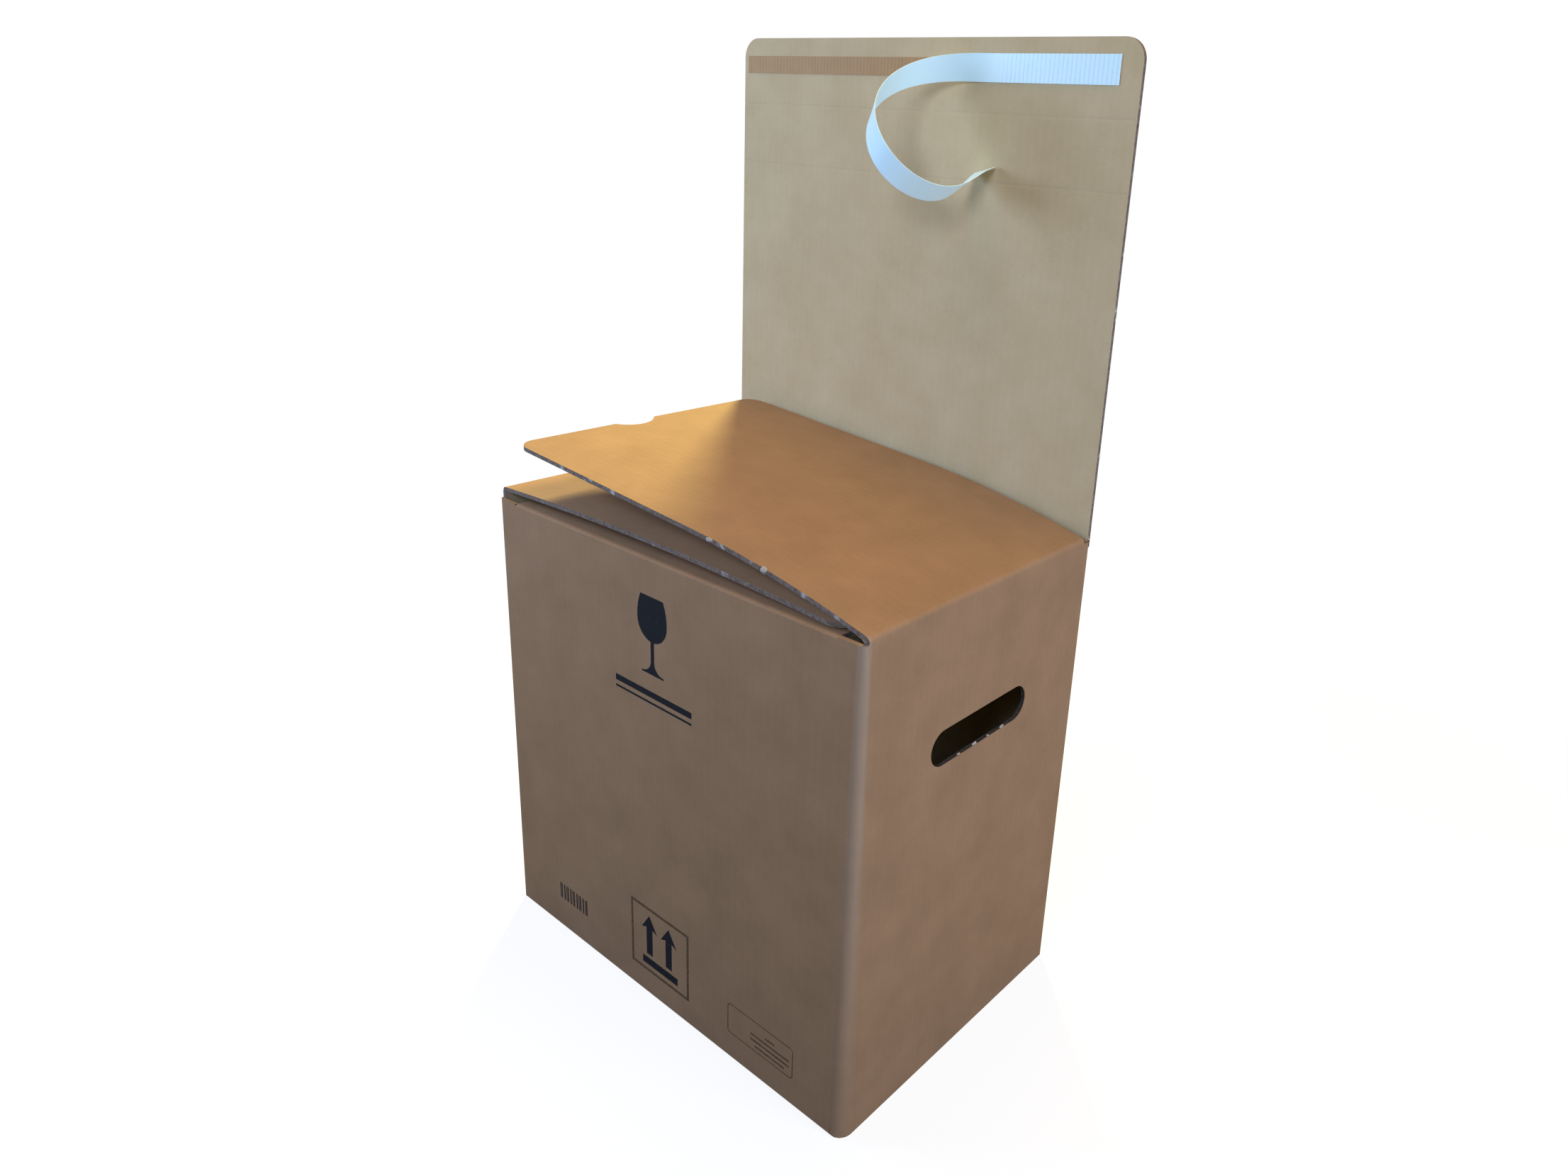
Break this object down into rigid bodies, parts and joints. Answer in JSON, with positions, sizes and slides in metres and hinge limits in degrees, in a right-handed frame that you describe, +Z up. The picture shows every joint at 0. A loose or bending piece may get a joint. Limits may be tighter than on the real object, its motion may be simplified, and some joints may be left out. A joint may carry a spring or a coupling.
{
  "type": "corrugated box",
  "caption": "Open self-seal shipping carton of corrugated board with hand holes, a raised side flap and an upright closure flap with a part-peeled seal.",
  "frame": {"origin": "middle of the underside, on the surface that the carton stands on", "axes": "+Z up, +X to the carton's right with the hand hole and the raised flap's crease, -Y towards the printed front"},
  "size_m": [0.35, 0.238, 0.672],
  "materials": {
    "kraft_board": "matt kraft liner",
    "kraft_inside": "matt kraft liner",
    "adhesive": "clear hot melt over kraft",
    "liner_paper": "smooth siliconised paper"
  },
  "bodies": {
    "carton": {"carton_body": "kraft_board"},
    "side_flap": {"side_flap": "kraft_board"},
    "closure_flap": {"closure_flap": "kraft_inside", "adhesive_strip": "adhesive", "release_liner": "liner_paper"}
  },
  "joints": [
    {"name": "side_flap_crease", "type": "hinge", "parent": "carton", "child": "side_flap", "pos_m": [0.175, 0, 0.352], "axis": [0, 1, 0], "range_deg": [-4, 240], "deforming": ["release_liner"]},
    {"name": "closure_flap_crease", "type": "hinge", "parent": "carton", "child": "closure_flap", "pos_m": [0, 0.119, 0.352], "axis": [-1, 0, 0], "range_deg": [-7, 172]}
  ]
}
